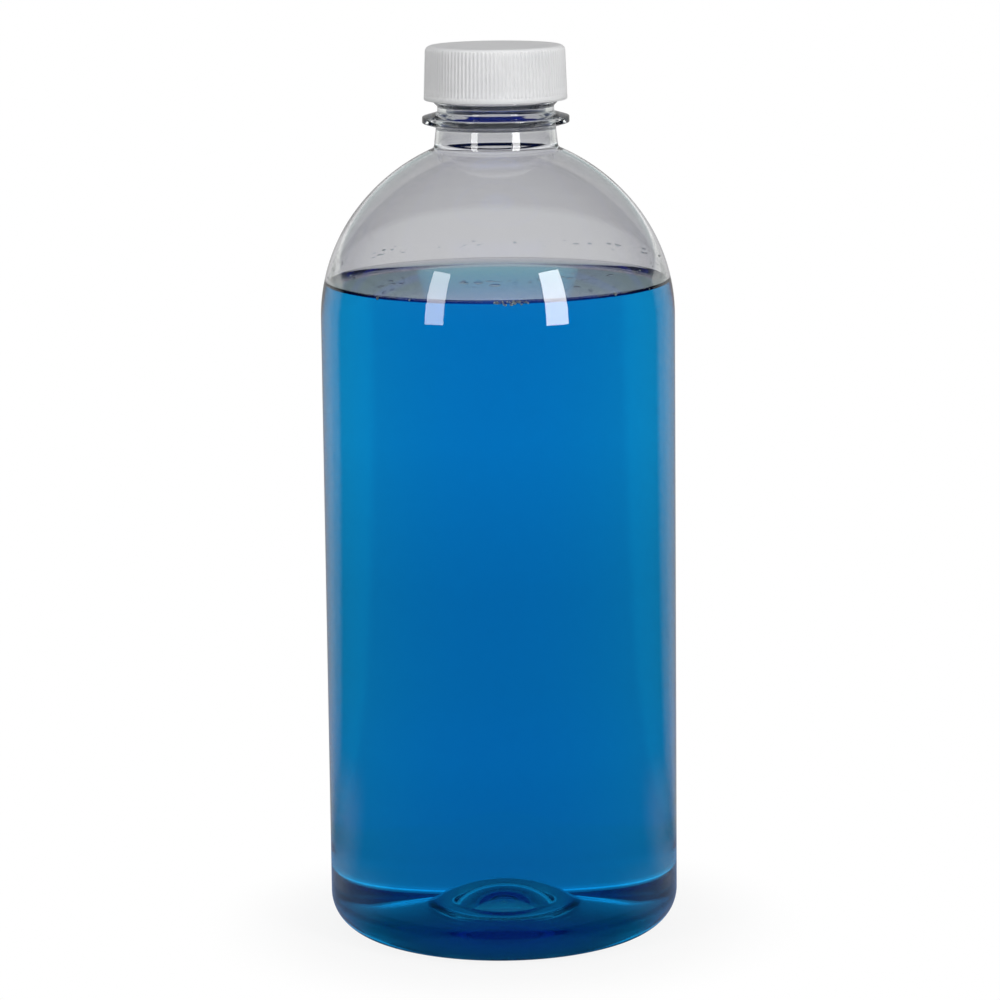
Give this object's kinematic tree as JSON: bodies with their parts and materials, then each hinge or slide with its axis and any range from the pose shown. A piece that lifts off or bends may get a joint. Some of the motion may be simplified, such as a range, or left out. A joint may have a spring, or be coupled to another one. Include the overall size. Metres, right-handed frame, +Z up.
{
  "type": "boston round bottle",
  "caption": "Clear round-shouldered bottle of blue drink, with a support ring on its short neck and a finely ribbed white screw cap.",
  "frame": {"origin": "the bottle's axis where it meets the surface that the bottle stands on", "axes": "+Z up along the bottle's axis towards the cap; X and Y are any pair across it, the bottle being round"},
  "size_m": [0.077, 0.077, 0.1948],
  "materials": {
    "clear_plastic": "clear and glossy",
    "blue_drink": "clear liquid, deep blue",
    "white_plastic": "satin"
  },
  "bodies": {
    "root": {"bottle": "clear_plastic", "drink": "blue_drink", "cap": "white_plastic"}
  },
  "joints": []
}
